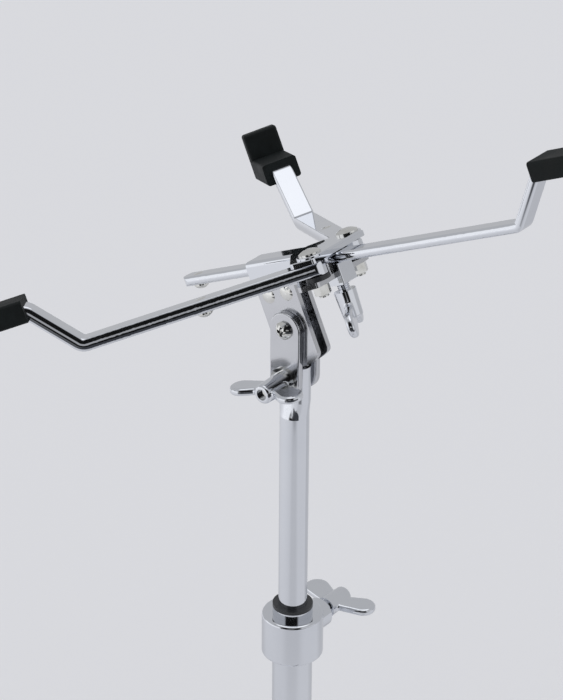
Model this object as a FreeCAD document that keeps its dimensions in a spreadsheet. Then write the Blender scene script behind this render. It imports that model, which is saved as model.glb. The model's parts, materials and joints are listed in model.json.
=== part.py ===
import FreeCAD, Part
import math
import os
import re
import Sketcher
from FreeCAD import Placement, Rotation, Vector

# Snare drum stand: tripod base, telescopic post, tilter and three-arm basket.
# Millimetres, +Z up. The origin is on the floor, on the axis of the tubes.
# The tilt axis runs along Y, and the sliding arm of the basket points to +X.

sizes = {
    # fits
    "running_clearance": 0.05,
    "side_clearance": 0.2,
    "seat_clearance": 0.3,
    "cut_overrun": 4.0,
    # post and tilter straps
    "pivot_height": 475.0,
    "post_diameter": 15.9,
    "post_wall": 1.2,
    "post_bottom": 170.0,
    "post_flat_width": 18.5,
    "post_flat_length": 21.0,
    "post_taper_length": 10.0,
    "post_top_gap": 1.2,
    "tilter_width": 11.4,
    "tilter_play": 0.1,
    "strap_width": 19.5,
    "strap_thickness": 3.8,
    "strap_pitch": 30.5,
    "strap_rounding": 0.9,
    # screws of the tilter
    "tilt_screw_diameter": 5.0,
    "tilt_head_diameter": 10.0,
    "tilt_head_height": 3.4,
    "tilt_nut_width": 8.0,
    "tilt_nut_height": 4.0,
    "lock_bolt_diameter": 6.0,
    "lock_head_diameter": 13.0,
    "lock_head_height": 3.6,
    "lock_washer_diameter": 16.0,
    "lock_washer_height": 1.4,
    "screw_tail": 1.5,
    # wing nut and wing bolts
    "wing_hub_diameter": 12.0,
    "wing_top_diameter": 10.6,
    "wing_hub_length": 17.6,
    "wing_span": 46.0,
    "wing_thickness": 4.2,
    "wing_root_radius": 5.2,
    "wing_tip_radius": 7.0,
    "wing_tip_height": 13.5,
    "wing_rounding": 1.7,
    "wing_blend": 1.6,
    "wing_nut_turn": -11.0,
    "wing_nut_recess": 2.2,
    # tilter bracket
    "basket_tilt": 24.9,
    "sheet_thickness": 2.8,
    "cheek_length": 27.0,
    "tail_radius": 22.0,
    "tail_corner_radius": 4.0,
    "bracket_rivet_spacing": 13.0,
    "bracket_rivet_drop": 4.4,
    "bracket_rivet_diameter": 8.4,
    "bracket_rivet_head": 0.9,
    "bracket_rivet_shank": 5.0,
    # hub of the basket
    "hub_offset": 41.5,
    "arm_top": 35.5,
    "arm_pivot_offset": 15.6,
    "hub_back": 6.0,
    "hub_front": 6.5,
    "hub_back_width": 53.0,
    "hub_front_width": 43.0,
    "hub_corner_radius": 2.6,
    "hub_edge_rounding": 0.5,
    "guide_back": 13.0,
    "guide_front": 20.0,
    "guide_wall": 2.0,
    "guide_bend_radius": 2.6,
    "arm_washer_diameter": 13.0,
    "arm_washer_height": 2.5,
    "pivot_plate_width": 15.0,
    "pivot_plate_thickness": 1.2,
    "pivot_screw_diameter": 5.0,
    "pivot_head_diameter": 12.0,
    "pivot_head_height": 2.9,
    "pivot_nut_width": 8.0,
    "pivot_nut_height": 5.0,
    "clamp_length": 15.0,
    "clamp_drop": 4.6,
    "clamp_lip": 2.6,
    "clamp_rounding": 0.7,
    "clamp_screw_diameter": 6.0,
    "clamp_screw_reach": 4.5,
    "clamp_hub_length": 15.4,
    "clamp_wing_root": 3.6,
    "clamp_wing_height": 15.2,
    "clamp_shoe_diameter": 7.2,
    "clamp_wing_turn": -55.0,
    # arms of the basket
    "swivel_arm_width": 12.6,
    "swivel_arm_thickness": 6.9,
    "swivel_edge_depth": 1.3,
    "slide_arm_width": 11.5,
    "slide_arm_thickness": 5.2,
    "slide_edge_depth": 1.8,
    "arm_bend_radius": 2.0,
    "arm_angle": 142.1,
    "arm_rise_angle": 50.0,
    "arm_rise": 26.4,
    "arm_grip": 34.0,
    "swivel_arm_length": 124.4,
    "slide_arm_front": 126.0,
    "slide_arm_back": 107.0,
    "arm_rivet_place": 60.7,
    "arm_rivet_shank": 5.0,
    "arm_rivet_head": 8.5,
    "arm_rivet_head_height": 3.1,
    "arm_rivet_top": 0.4,
    "slide_stop_inset": 9.5,
    # rubber tips
    "tip_width": 20.0,
    "tip_cover": 2.0,
    "tip_pad": 3.3,
    "tip_start": 1.0,
    "tip_ledge": 32.0,
    "tip_lip_thickness": 8.0,
    "tip_lip_height": 15.0,
    "tip_rounding": 1.6,
    # base tube and height clamp
    "base_diameter": 22.2,
    "base_wall": 1.5,
    "base_tail": 15.8,
    "base_top": 300.0,
    "cap_height": 4.0,
    "cap_plug": 10.0,
    "cap_rim": 1.2,
    "bush_length": 40.0,
    "bush_flange": 2.0,
    "height_clamp_diameter": 34.0,
    "height_clamp_length": 26.0,
    "height_clamp_drop": 4.0,
    "wing_screw_diameter": 8.0,
    "screw_boss_diameter": 17.0,
    "screw_boss_reach": 8.0,
    "screw_boss_gap": 5.0,
    # legs and braces
    "leg_open_angle": 62.0,
    "leg_hinge_radius": 24.0,
    "leg_end_height": 6.65,
    "leg_length": 316.0,
    "leg_width": 12.0,
    "leg_wall": 1.8,
    "leg_rise": 7.4,
    "leg_drop": 5.5,
    "leg_rounding": 1.5,
    "brace_length": 95.0,
    "brace_width": 11.0,
    "brace_thickness": 2.0,
    "brace_rivet_head": 8.0,
    "brace_rivet_height": 1.8,
    "collar_diameter": 33.0,
    "collar_height": 24.0,
    "brace_collar_height": 16.0,
    "tongue_height": 10.0,
    "hinge_pin_diameter": 5.0,
    "hinge_pin_head": 8.0,
    "hinge_pin_head_height": 1.8,
    # feet
    "foot_length": 36.0,
    "foot_overhang": 10.0,
    "foot_width": 19.0,
    "foot_cover": 3.0,
    "foot_rounding": 3.0,
}

basket_names = ("left", "back")
leg_azimuths = {"rear": 90.0, "left": 210.0, "right": 330.0}
turn_to = {
    "X": Rotation(Vector(0, 1, 0), 90),
    "Y": Rotation(Vector(1, 0, 0), -90),
    "Z": Rotation(),
}

# Heights of the leg hinges, the brace hinges and the end of the base tube.
leg_level = "(leg_length * cos(leg_open_angle) + leg_end_height)"
brace_level = "(%s - 2 * brace_length * cos(leg_open_angle))" % leg_level
base_end = "(%s - base_tail)" % brace_level

doc = FreeCAD.newDocument("snare_drum_stand")
sheet = doc.addObject("Spreadsheet::Sheet", "dims")
for row, (alias, number) in enumerate(sizes.items(), start=1):
    sheet.set("A%d" % row, alias)
    sheet.set("B%d" % row, str(number))
    sheet.setAlias("B%d" % row, alias)
doc.recompute()
nodes = []


def name_cell(word):
    return "dims." + word.group() if word.group() in sizes else word.group()


# A formula in the sheet's aliases, as the document's expressions need it.
def cell(text):
    return re.sub(r"[a-z][a-z_]+", name_cell, text)


# The same formula as a number.
def worth(text):
    return float(sheet.evalExpression(cell(text)))


def bind(piece, **formulas):
    for name, text in formulas.items():
        piece.setExpression(name, cell(text))


def bind_place(piece, x, y, z):
    for axis, text in zip("xyz", (x, y, z)):
        piece.setExpression("Placement.Base." + axis, cell(text))


# Box between pairs of formulas along each axis.
def block(name, x, y, z):
    piece = doc.addObject("Part::Box", name)
    spans = ["(%s) - (%s)" % (high, low) for low, high in (x, y, z)]
    bind(piece, Length=spans[0], Width=spans[1], Height=spans[2])
    bind_place(piece, x[0], y[0], z[0])
    return piece


# Cylinder along an axis, between two formulas, centred in the other two directions.
def rod(name, radius, span, axis="Z", centre=("0", "0")):
    piece = doc.addObject("Part::Cylinder", name)
    piece.Placement = Placement(Vector(), turn_to[axis])
    bind(piece, Radius=radius, Height="(%s) - (%s)" % (span[1], span[0]))
    place = list(centre)
    place.insert("XYZ".index(axis), span[0])
    bind_place(piece, *place)
    return piece


# Hexagonal prism along Z, given across its flats.
def hexagon(name, width, span, centre=("0", "0")):
    piece = doc.addObject("Part::Prism", name)
    piece.Polygon = 6
    bind(piece, Circumradius="(%s) / sqrt(3)" % width, Height="(%s) - (%s)" % (span[1], span[0]))
    bind_place(piece, centre[0], centre[1], span[0])
    return piece


def fused(name, pieces):
    piece = doc.addObject("Part::MultiFuse", name)
    piece.Shapes = pieces
    piece.Refine = True
    return piece


def carved(name, base, tools):
    piece = doc.addObject("Part::Cut", name)
    piece.Base = base
    piece.Tool = tools[0] if len(tools) == 1 else fused(name + "_tools", tools)
    piece.Refine = True
    return piece


def group(name, pieces):
    piece = doc.addObject("Part::Compound", name)
    piece.Links = pieces
    return piece


# A piece turned about the Z axis.
def swung(name, piece, angle):
    copy = group(name, [piece])
    copy.Placement = Placement(Vector(), Rotation(Vector(0, 0, 1), angle))
    return copy


# Closed outline of straight edges in a body, every corner tied to the sheet.
def outline(body, plane, corners, offset="0"):
    sketch = body.newObject("Sketcher::SketchObject", body.Name + "_outline")
    support = next(item for item in body.Origin.OriginFeatures if item.Role == plane)
    sketch.AttachmentSupport = [(support, "")]
    sketch.MapMode = "FlatFace"
    sketch.setExpression("AttachmentOffset.Base.z", cell(offset))
    spots = [Vector(worth(x), worth(y), 0) for x, y in corners]
    count = len(spots)
    for index, spot in enumerate(spots):
        sketch.addGeometry(Part.LineSegment(spot, spots[(index + 1) % count]))
    for index in range(count):
        sketch.addConstraint(Sketcher.Constraint("Coincident", index, 2, (index + 1) % count, 1))
    for index, corner in enumerate(corners):
        for kind, axis, text in zip(("DistanceX", "DistanceY"), (-2, -1), corner):
            if text == "0":
                sketch.addConstraint(Sketcher.Constraint("PointOnObject", index, 1, axis))
                continue
            tie = Sketcher.Constraint(kind, -1, 1, index, 1, worth(text))
            sketch.setExpression("Constraints[%d]" % sketch.addConstraint(tie), cell(text))
    return sketch


# Body turned about Z from an outline of radius and height.
def turned(name, corners):
    body = doc.addObject("PartDesign::Body", name)
    sketch = outline(body, "XZ_Plane", corners)
    spin = body.newObject("PartDesign::Revolution", name + "_turn")
    spin.Profile = sketch
    spin.ReferenceAxis = (sketch, ["V_Axis"])
    spin.Angle = 360.0
    return body


# Body padded upwards from an outline in X and Y.
def plate(name, corners, low, high):
    body = doc.addObject("PartDesign::Body", name)
    pad = body.newObject("PartDesign::Pad", name + "_pad")
    pad.Profile = outline(body, "XY_Plane", corners, low)
    bind(pad, Length="(%s) - (%s)" % (high, low))
    return body


# Rounds the edges of a body that a test picks, with one radius from the sheet.
def round_body(body, radius, picked):
    doc.recompute()
    tip = body.Tip
    edges = ["Edge%d" % (i + 1) for i, edge in enumerate(tip.Shape.Edges) if picked(edge)]
    rounding = body.newObject("PartDesign::Fillet", body.Name + "_rounding")
    rounding.Base = (tip, edges)
    bind(rounding, Radius=radius)
    return body


# Rounds picked edges of any other piece.
def rounded(name, base, radius, picked):
    doc.recompute()
    size = worth(radius)
    piece = doc.addObject("Part::Fillet", name)
    piece.Base = base
    piece.Edges = [(i + 1, size, size) for i, edge in enumerate(base.Shape.Edges) if picked(edge)]
    return piece


def upright(edge):
    return edge.Curve.TypeId == "Part::GeomLine" and abs(edge.Curve.Direction.z) > math.cos(math.radians(1))


def at_height(text):
    level = worth(text)
    return lambda edge: edge.BoundBox.ZLength < tolerance and abs(edge.BoundBox.ZMin - level) < tolerance


def shaped(name, shape):
    piece = doc.addObject("Part::Feature", name)
    piece.Shape = shape
    return piece


def add_node(label, piece, placement=Placement()):
    piece.Label = label
    piece.Placement = placement
    nodes.append(piece)


tolerance = 0.001
size_of = {alias: sheet.get(alias) for alias in sizes}
pivot_place = Placement(Vector(0, 0, worth("pivot_height")), Rotation())
basket_place = Placement(pivot_place.Base, Rotation(Vector(0, 1, 0), -worth("basket_tilt")))
hub_place = basket_place * Placement(Vector(worth("hub_offset"), 0, worth("arm_top")), Rotation())
strap_place = Placement(pivot_place.Base, turn_to["X"])
to_front = Rotation(Vector(1, 0, 0), 90)

plate_top = "arm_top - swivel_arm_thickness - seat_clearance - arm_washer_height"
slide_seat = "arm_top - slide_arm_thickness - seat_clearance"
plate_low = "%s - sheet_thickness" % plate_top
cover_low = "arm_top + seat_clearance"
cover_top = "%s + sheet_thickness" % cover_low
strap_face = "tilter_width / 2 + strap_thickness"


# Stadium-shaped strip along X in the XZ plane, from its first hole to its second.
def strip(name, pitch, width, y, bores):
    radius = "(%s) / 2" % width
    pieces = [
        block(name + "_middle", ("0", pitch), y, ("-" + radius, radius)),
        rod(name + "_start", radius, y, "Y"),
        rod(name + "_end", radius, y, "Y", (pitch, "0")),
    ]
    through = ("(%s) - cut_overrun" % y[0], "(%s) + cut_overrun" % y[1])
    tools = [
        rod(name + "_bore_%d" % i, bore, through, "Y", (place, "0"))
        for i, (place, bore) in enumerate(zip(("0", pitch), bores))
    ]
    return carved(name + "_plain", fused(name + "_blank", pieces), tools)


# Wire round two circles and their outer tangents, in the XZ plane.
def paddle(start, start_radius, end, end_radius):
    along = end - start
    lean = math.acos((start_radius - end_radius) / along.Length)
    heading = math.atan2(along.z, along.x)

    def spot(centre, radius, angle):
        return centre + Vector(math.cos(angle), 0, math.sin(angle)) * radius

    low, high = heading - lean, heading + lean
    edges = [
        Part.LineSegment(spot(start, start_radius, low), spot(end, end_radius, low)),
        Part.Arc(spot(end, end_radius, low), spot(end, end_radius, heading), spot(end, end_radius, high)),
        Part.LineSegment(spot(end, end_radius, high), spot(start, start_radius, high)),
        Part.Arc(spot(start, start_radius, high), spot(start, start_radius, heading + math.pi),
                 spot(start, start_radius, low)),
    ]
    return Part.Wire([edge.toShape() for edge in edges])


# True where an edge runs along the surface of a shape.
def lies_on(edge, shape):
    share = edge.LastParameter - edge.FirstParameter
    spots = [Part.Vertex(edge.valueAt(edge.FirstParameter + share * part)) for part in (0.3, 0.5, 0.7)]
    return all(min(face.distToShape(spot)[0] for face in shape.Faces) < tolerance for spot in spots)


# Hub and two rounded wings along Z, standing on the XY plane.
def wing_head(length="wing_hub_length", tip_height="wing_tip_height", root="wing_root_radius", share=0.455):
    low = size_of["wing_hub_diameter"] / 2
    high = size_of["wing_top_diameter"] / 2
    hub = Part.makeCone(low, high, worth(length))
    hub = hub.makeFillet(size_of["wing_rounding"], [e for e in hub.Edges if e.BoundBox.ZMin > tolerance])
    thickness = size_of["wing_thickness"]
    tip_radius = size_of["wing_tip_radius"]
    root_radius = worth(root)
    start = Vector(root_radius / 2, -thickness / 2, worth(length) * share)
    end = Vector(size_of["wing_span"] / 2 - tip_radius, -thickness / 2, worth(tip_height))
    face = Part.Face(paddle(start, root_radius, end, tip_radius))
    wing = face.extrude(Vector(0, thickness, 0))
    flat = [e for e in wing.Edges if e.BoundBox.YLength < tolerance]
    wing = wing.makeFillet(size_of["wing_rounding"], flat)
    wings = wing.fuse(wing.mirror(Vector(), Vector(1, 0, 0)))
    whole = hub.fuse(wings).removeSplitter().Solids[0]
    seams = [edge for edge in whole.Edges if lies_on(edge, hub) and lies_on(edge, wings)]
    return whole.makeFillet(size_of["wing_blend"], seams)


# Wing bolt whose shank points down from the seat of its head.
def wing_bolt(name, diameter, reach, *head):
    shank = Part.makeCylinder(worth(diameter) / 2, worth(reach), Vector(0, 0, -worth(reach)))
    return shaped(name, wing_head(*head).fuse(shank).removeSplitter())


# Round pin along Z: steps of radius, low and high, and domes of radius, base and top.
def pin_form(steps, domes):
    solids = []
    for radius, low, high in steps:
        solids.append(Part.makeCylinder(worth(radius), worth(high) - worth(low), Vector(0, 0, worth(low))))
    for radius, base, top in domes:
        rim, rise = worth(radius), worth(top) - worth(base)
        ball = (rim ** 2 + rise ** 2) / (2 * abs(rise))
        centre = Vector(0, 0, worth(top) - math.copysign(ball, rise))
        slab = Part.makeCylinder(2 * rim, abs(rise), Vector(0, 0, min(worth(base), worth(top))))
        solids.append(Part.makeSphere(ball, centre).common(slab))
    return solids[0].fuse(solids[1:]).removeSplitter().Solids[0]


# Four-edged ring: two flat sides of the given length joined by rounded ends.
def oblong_wire(width, thickness, height, bulge):
    half = (width - thickness) / 2
    side = thickness / 2
    corners = [Vector(-half, -side, height), Vector(half, -side, height),
               Vector(half, side, height), Vector(-half, side, height)]
    middles = [Vector(0, -side - bulge, height), Vector(width / 2, 0, height),
               Vector(0, side + bulge, height), Vector(-width / 2, 0, height)]
    edges = []
    for i, middle in enumerate(middles):
        start, end = corners[i], corners[(i + 1) % 4]
        flat = i % 2 == 0 and bulge == 0
        edges.append(Part.LineSegment(start, end) if flat else Part.Arc(start, middle, end))
    return Part.Wire([edge.toShape() for edge in edges])


def round_wire(radius, height):
    corner = radius / math.sqrt(2)
    return oblong_round(radius, corner, height)


def oblong_round(radius, corner, height):
    corners = [Vector(-corner, -corner, height), Vector(corner, -corner, height),
               Vector(corner, corner, height), Vector(-corner, corner, height)]
    middles = [Vector(0, -radius, height), Vector(radius, 0, height),
               Vector(0, radius, height), Vector(-radius, 0, height)]
    edges = [Part.Arc(corners[i], middles[i], corners[(i + 1) % 4]) for i in range(4)]
    return Part.Wire([edge.toShape() for edge in edges])


# Round tube whose top end is pressed to an oblong; inset gives its bore.
def post_form(inset):
    top = worth("pivot_height - tail_radius - post_top_gap")
    flat = top - size_of["post_flat_length"]
    shoulder = flat - size_of["post_taper_length"]
    radius = size_of["post_diameter"] / 2 - inset
    width = size_of["post_flat_width"] - 2 * inset
    thickness = size_of["tilter_width"] - 2 * inset
    overrun = size_of["cut_overrun"] if inset else 0
    bottom = size_of["post_bottom"] - overrun
    tube = Part.makeCylinder(radius, shoulder - bottom, Vector(0, 0, bottom))
    taper = Part.makeLoft([round_wire(radius, shoulder), oblong_wire(width, thickness, flat, 0)], True, True)
    mouth = Part.Face(oblong_wire(width, thickness, flat, 0)).extrude(Vector(0, 0, top - flat + overrun))
    return tube.fuse([taper, mouth]).removeSplitter()


# Flat bar seen from its end at the given X: flat top and bottom, edges rolled to half ellipses.
def bar_section(x, width, thickness, depth):
    flat = width / 2 - depth
    high = thickness / 2
    middle = Vector(x, 0, -high)
    lift = Vector(0, 0, high)
    out = Vector(0, 1, 0)
    edges = []
    for side in (1, -1):
        centre = middle + out * (side * flat)
        oval = Part.Ellipse(centre + lift * side, centre + out * (side * depth), centre)
        edges.append(Part.ArcOfEllipse(oval, 0, math.pi).toShape())
        edges.append(Part.LineSegment(centre - lift * side, middle - out * (side * flat) - lift * side).toShape())
    return Part.Wire(Part.__sortEdges__(edges))


# Flat bar along X, its top at Z 0, that rises and levels off again; kind is swivel or slide.
def arm_form(kind, back, front):
    width = size_of[kind + "_arm_width"]
    thickness = size_of[kind + "_arm_thickness"]
    angle = math.radians(size_of["arm_rise_angle"])
    shift = thickness / 2 * math.tan(angle / 2)
    run = size_of["arm_rise"] / math.tan(angle)
    middle = -thickness / 2
    spots = [
        Vector(-back, 0, middle),
        Vector(front + shift, 0, middle),
        Vector(front + run + shift, 0, middle + size_of["arm_rise"]),
        Vector(front + run + size_of["arm_grip"], 0, middle + size_of["arm_rise"]),
    ]
    reach = (size_of["arm_bend_radius"] + thickness / 2) * math.tan(angle / 2)
    edges = []
    start = spots[0]
    for before, corner, after in zip(spots, spots[1:], spots[2:]):
        into = (corner - before).normalize()
        away = (after - corner).normalize()
        first = corner - into * reach
        last = corner + away * reach
        inward = (away - into).normalize()
        radius = size_of["arm_bend_radius"] + thickness / 2
        centre = corner + inward * (radius / math.cos(angle / 2))
        crest = centre - inward * radius
        edges.append(Part.LineSegment(start, first).toShape())
        edges.append(Part.Arc(first, crest, last).toShape())
        start = last
    edges.append(Part.LineSegment(start, spots[-1]).toShape())
    section = bar_section(-back, width, thickness, size_of[kind + "_edge_depth"])
    return Part.Wire(edges).makePipeShell([section], True, False)


# Shapes the end of a bar at X = -back into a half circle.
def round_end(kind, bar, back):
    half = size_of[kind + "_arm_width"] / 2
    thickness = size_of[kind + "_arm_thickness"]
    overrun = size_of["cut_overrun"]
    deep = thickness + 2 * overrun
    corner = Vector(-back - overrun, -half - overrun, -thickness - overrun)
    waste = Part.makeBox(half + overrun, 2 * (half + overrun), deep, corner)
    keep = Part.makeCylinder(half, deep, Vector(half - back, 0, corner.z))
    return bar.cut(waste.cut(keep))


def bored(kind, bar, x, diameter):
    low = -size_of[kind + "_arm_thickness"] - size_of["cut_overrun"]
    return bar.cut(Part.makeCylinder(diameter / 2, size_of["cut_overrun"] - low, Vector(x, 0, low)))


# Rubber tip round the outer end of an arm: a level ledge with an upturned lip.
def tip_form(kind, front, bar):
    run = size_of["arm_rise"] / math.tan(math.radians(size_of["arm_rise_angle"]))
    inner = front + run + size_of["tip_start"]
    half = size_of["tip_width"] / 2
    low = size_of["arm_rise"] - size_of[kind + "_arm_thickness"] - size_of["tip_cover"]
    high = size_of["arm_rise"] + size_of["tip_pad"]
    outer = inner + size_of["tip_ledge"] + size_of["tip_lip_thickness"]
    ledge = inner + size_of["tip_ledge"]
    crown = high + size_of["tip_lip_height"]
    corners = [Vector(inner, -half, low), Vector(outer, -half, low), Vector(outer, -half, crown),
               Vector(ledge, -half, crown), Vector(ledge, -half, high), Vector(inner, -half, high)]
    block_shape = Part.Face(Part.makePolygon(corners + corners[:1])).extrude(Vector(0, 2 * half, 0))
    seat = Vector(ledge, 0, high)
    edges = [e for e in block_shape.Edges
             if e.BoundBox.XMax > inner + tolerance and (e.CenterOfMass - seat).Length > half / 2]
    rounded_block = block_shape.makeFillet(size_of["tip_rounding"], edges)
    return rounded_block.cut(bar)


# Rivet along Z: low round head under the bar, small ring on top of it.
def arm_rivet(kind, name):
    under = "0 - %s_arm_thickness" % kind
    shank = "arm_rivet_shank / 2 - running_clearance"
    head = "arm_rivet_head / 2"
    drop = under + " - arm_rivet_head_height"
    brim = under + " - arm_rivet_head_height * 0.3"
    return shaped(name, pin_form([(shank, brim, "0"), (head, brim, under)],
                                 [(head, brim, drop), ("arm_rivet_head * 0.34", "0", "arm_rivet_top")]))


# Post, straps and the screws of the tilter.
def build_tilter():
    post = shaped("post_blank", post_form(0).cut(post_form(size_of["post_wall"])))
    lock = rod("post_lock_bore", "lock_bolt_diameter / 2 + running_clearance",
               ("0 - strap_width", "strap_width"), "Y", ("0", "pivot_height - strap_pitch"))
    add_node("post", carved("post_bored", post, [lock]))

    bores = ("tilt_screw_diameter / 2 + running_clearance", "lock_bolt_diameter / 2 + running_clearance")
    inner = "tilter_width / 2"
    for name, low, high in (("front_strap", "0 - (%s)" % strap_face, "0 - (%s)" % inner),
                            ("rear_strap", inner, strap_face)):
        plain = strip(name, "strap_pitch", "strap_width", (low, high), bores)
        reach = worth("tilt_screw_diameter")
        outer = [worth(low), worth(high)]

        def rim(edge):
            flat = edge.BoundBox.YLength < tolerance
            wide = edge.BoundBox.DiagonalLength > 2 * reach
            return flat and wide and any(abs(edge.BoundBox.YMin - y) < tolerance for y in outer)

        add_node(name, rounded(name + "_edges", plain, "strap_rounding", rim), strap_place)

    seat = strap_face
    head = "tilt_head_diameter / 2"
    tail = "0 - (2 * (%s) + tilt_nut_height + screw_tail)" % seat
    brim = "tilt_head_height * 0.3"
    screw = shaped("tilt_screw_body", pin_form(
        [("tilt_screw_diameter / 2", tail, brim), (head, "0", brim)], [(head, brim, "tilt_head_height")]))
    recess = "tilt_head_diameter * 0.09"
    wide = "tilt_head_diameter * 0.27"
    depth = ("tilt_head_height * 0.45", "tilt_head_height + cut_overrun")
    cross = [block("tilt_recess_x", ("0 - " + wide, wide), ("0 - " + recess, recess), depth),
             block("tilt_recess_y", ("0 - " + recess, recess), ("0 - " + wide, wide), depth)]
    front = Placement(Vector(0, -worth(seat), worth("pivot_height")), to_front)
    add_node("tilt_screw", carved("tilt_screw_cut", screw, cross), front)

    nut = hexagon("tilt_nut_blank", "tilt_nut_width", ("0", "tilt_nut_height"))
    bore = rod("tilt_nut_bore", "tilt_screw_diameter / 2 + running_clearance",
               ("0 - cut_overrun", "tilt_nut_height + cut_overrun"))
    rear = Placement(Vector(0, worth(seat), worth("pivot_height")), turn_to["Y"])
    add_node("tilt_nut", carved("tilt_nut_cut", nut, [bore]), rear)

    level = worth("pivot_height - strap_pitch")
    radius = "lock_bolt_diameter / 2"
    tip = "0 - (2 * (%s) + lock_washer_height + wing_hub_length - wing_nut_recess)" % seat
    brim = "lock_head_height * 0.3"
    head = "lock_head_diameter / 2"
    bolt = shaped("lock_bolt_body", pin_form(
        [(radius, tip, brim), (head, "0", brim)], [(head, brim, "lock_head_height")]))
    add_node("lock_bolt", bolt, Placement(Vector(0, worth(seat), level), turn_to["Y"]))
    washer = turned("lock_washer_body", [
        (radius + " + running_clearance", "0"), ("lock_washer_diameter / 2", "0"),
        ("lock_washer_diameter / 2", "lock_washer_height"),
        (radius + " + running_clearance", "lock_washer_height"),
    ])
    add_node("lock_washer", washer, Placement(Vector(0, -worth(seat), level), to_front))

    wings = shaped("wing_nut_blank", wing_head())
    bore = rod("wing_nut_bore", radius + " + running_clearance",
               ("0 - cut_overrun", "wing_hub_length + cut_overrun"))
    seat_y = -worth(seat + " + lock_washer_height + running_clearance")
    spin = Rotation(Vector(0, 1, 0), worth("wing_nut_turn")) * to_front
    add_node("wing_nut", carved("wing_nut_cut", wings, [bore]), Placement(Vector(0, seat_y, level), spin))


# Plan of a hub plate: narrow over the guide, flared round the two arm pivots.
def hub_plan(front):
    half = "slide_arm_width / 2 + side_clearance + guide_wall"
    back = "0 - guide_back"
    neck = "guide_front"
    wide = "hub_offset - hub_back"
    corner = [(back, half), (neck, half), (wide, "hub_back_width / 2"), (front, "hub_front_width / 2")]
    mirror = [(x, "0 - (%s)" % y) for x, y in reversed(corner)]
    return corner + mirror


# True for the upright edges at the flared end of a hub plate.
def flared(edge):
    return upright(edge) and edge.BoundBox.XMin > worth("guide_front") + tolerance


# Bracket that carries the hub and hangs between the straps.
def build_bracket():
    front = "hub_offset + hub_front - clamp_lip"
    flat = plate("bracket_plate", hub_plan(front), plate_low, plate_top)
    round_body(flat, "hub_corner_radius", flared)
    half = "(tilter_width / 2 - tilter_play)"
    inner = half + " - sheet_thickness"
    along = ("0 - cheek_length / 2", "cheek_length / 2")
    tall = ("0 - tail_radius", plate_low)
    cheeks = [block("bracket_front_cheek", along, ("0 - " + half, "0 - (%s)" % inner), tall),
              block("bracket_rear_cheek", along, (inner, half), tall)]
    waste = block("bracket_tail_waste", ("0 - cheek_length", "cheek_length"), ("0 - tilter_width", "tilter_width"),
                  ("0 - 2 * tail_radius", "0"))
    disc = rod("bracket_tail_disc", "tail_radius", ("0 - 2 * tilter_width", "2 * tilter_width"), "Y")
    tails = carved("bracket_tails", fused("bracket_cheeks", cheeks), [carved("bracket_tail_cut", waste, [disc])])
    edge_x = worth("cheek_length / 2")
    tails = rounded("bracket_tail_corners", tails, "tail_corner_radius",
                    lambda edge: edge.BoundBox.ZMax < 0 and edge.BoundBox.ZLength < tolerance
                    and edge.BoundBox.XLength < tolerance and abs(abs(edge.CenterOfMass.x) - edge_x) < tolerance)
    tools = [rod("bracket_tilt_bore", "tilt_screw_diameter / 2 + running_clearance",
                 ("0 - tilter_width", "tilter_width"), "Y")]
    through = (plate_low + " - cut_overrun", plate_top + " + cut_overrun")
    for name, side in zip(basket_names, ("0 - arm_pivot_offset", "arm_pivot_offset")):
        tools.append(rod("bracket_bore_" + name, "pivot_screw_diameter / 2 + running_clearance", through, "Z",
                         ("hub_offset", side)))
    tools.append(rod("bracket_clamp_bore", "clamp_shoe_diameter / 2", through, "Z",
                     ("hub_offset", "0")))
    for place in ("0 - bracket_rivet_spacing / 2", "bracket_rivet_spacing / 2"):
        tools.append(rod("bracket_rivet_bore", "bracket_rivet_shank / 2 + running_clearance",
                         ("0 - tilter_width", "tilter_width"), "Y", (place, plate_low + " - bracket_rivet_drop")))
    add_node("tilt_bracket", carved("bracket_cut", fused("bracket_blank", [flat, tails]), tools), basket_place)

    head = "bracket_rivet_diameter / 2"
    shank = "bracket_rivet_shank / 2"
    thick = "bracket_rivet_head"
    span = "2 * " + half
    rivets = []
    for index, share in enumerate((-0.5, 0.5)):
        body = shaped("bracket_rivet_%d" % index, pin_form(
            [(shank, "0", span)], [(head, "0", "0 - " + thick), (head, span, span + " + " + thick)]))
        level = worth(plate_low + " - bracket_rivet_drop")
        spot = Vector(share * worth("bracket_rivet_spacing"), -worth(half), level)
        body.Placement = Placement(spot, turn_to["Y"])
        rivets.append(body)
    add_node("bracket_rivets", group("bracket_rivet_pair", rivets), basket_place)


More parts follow.
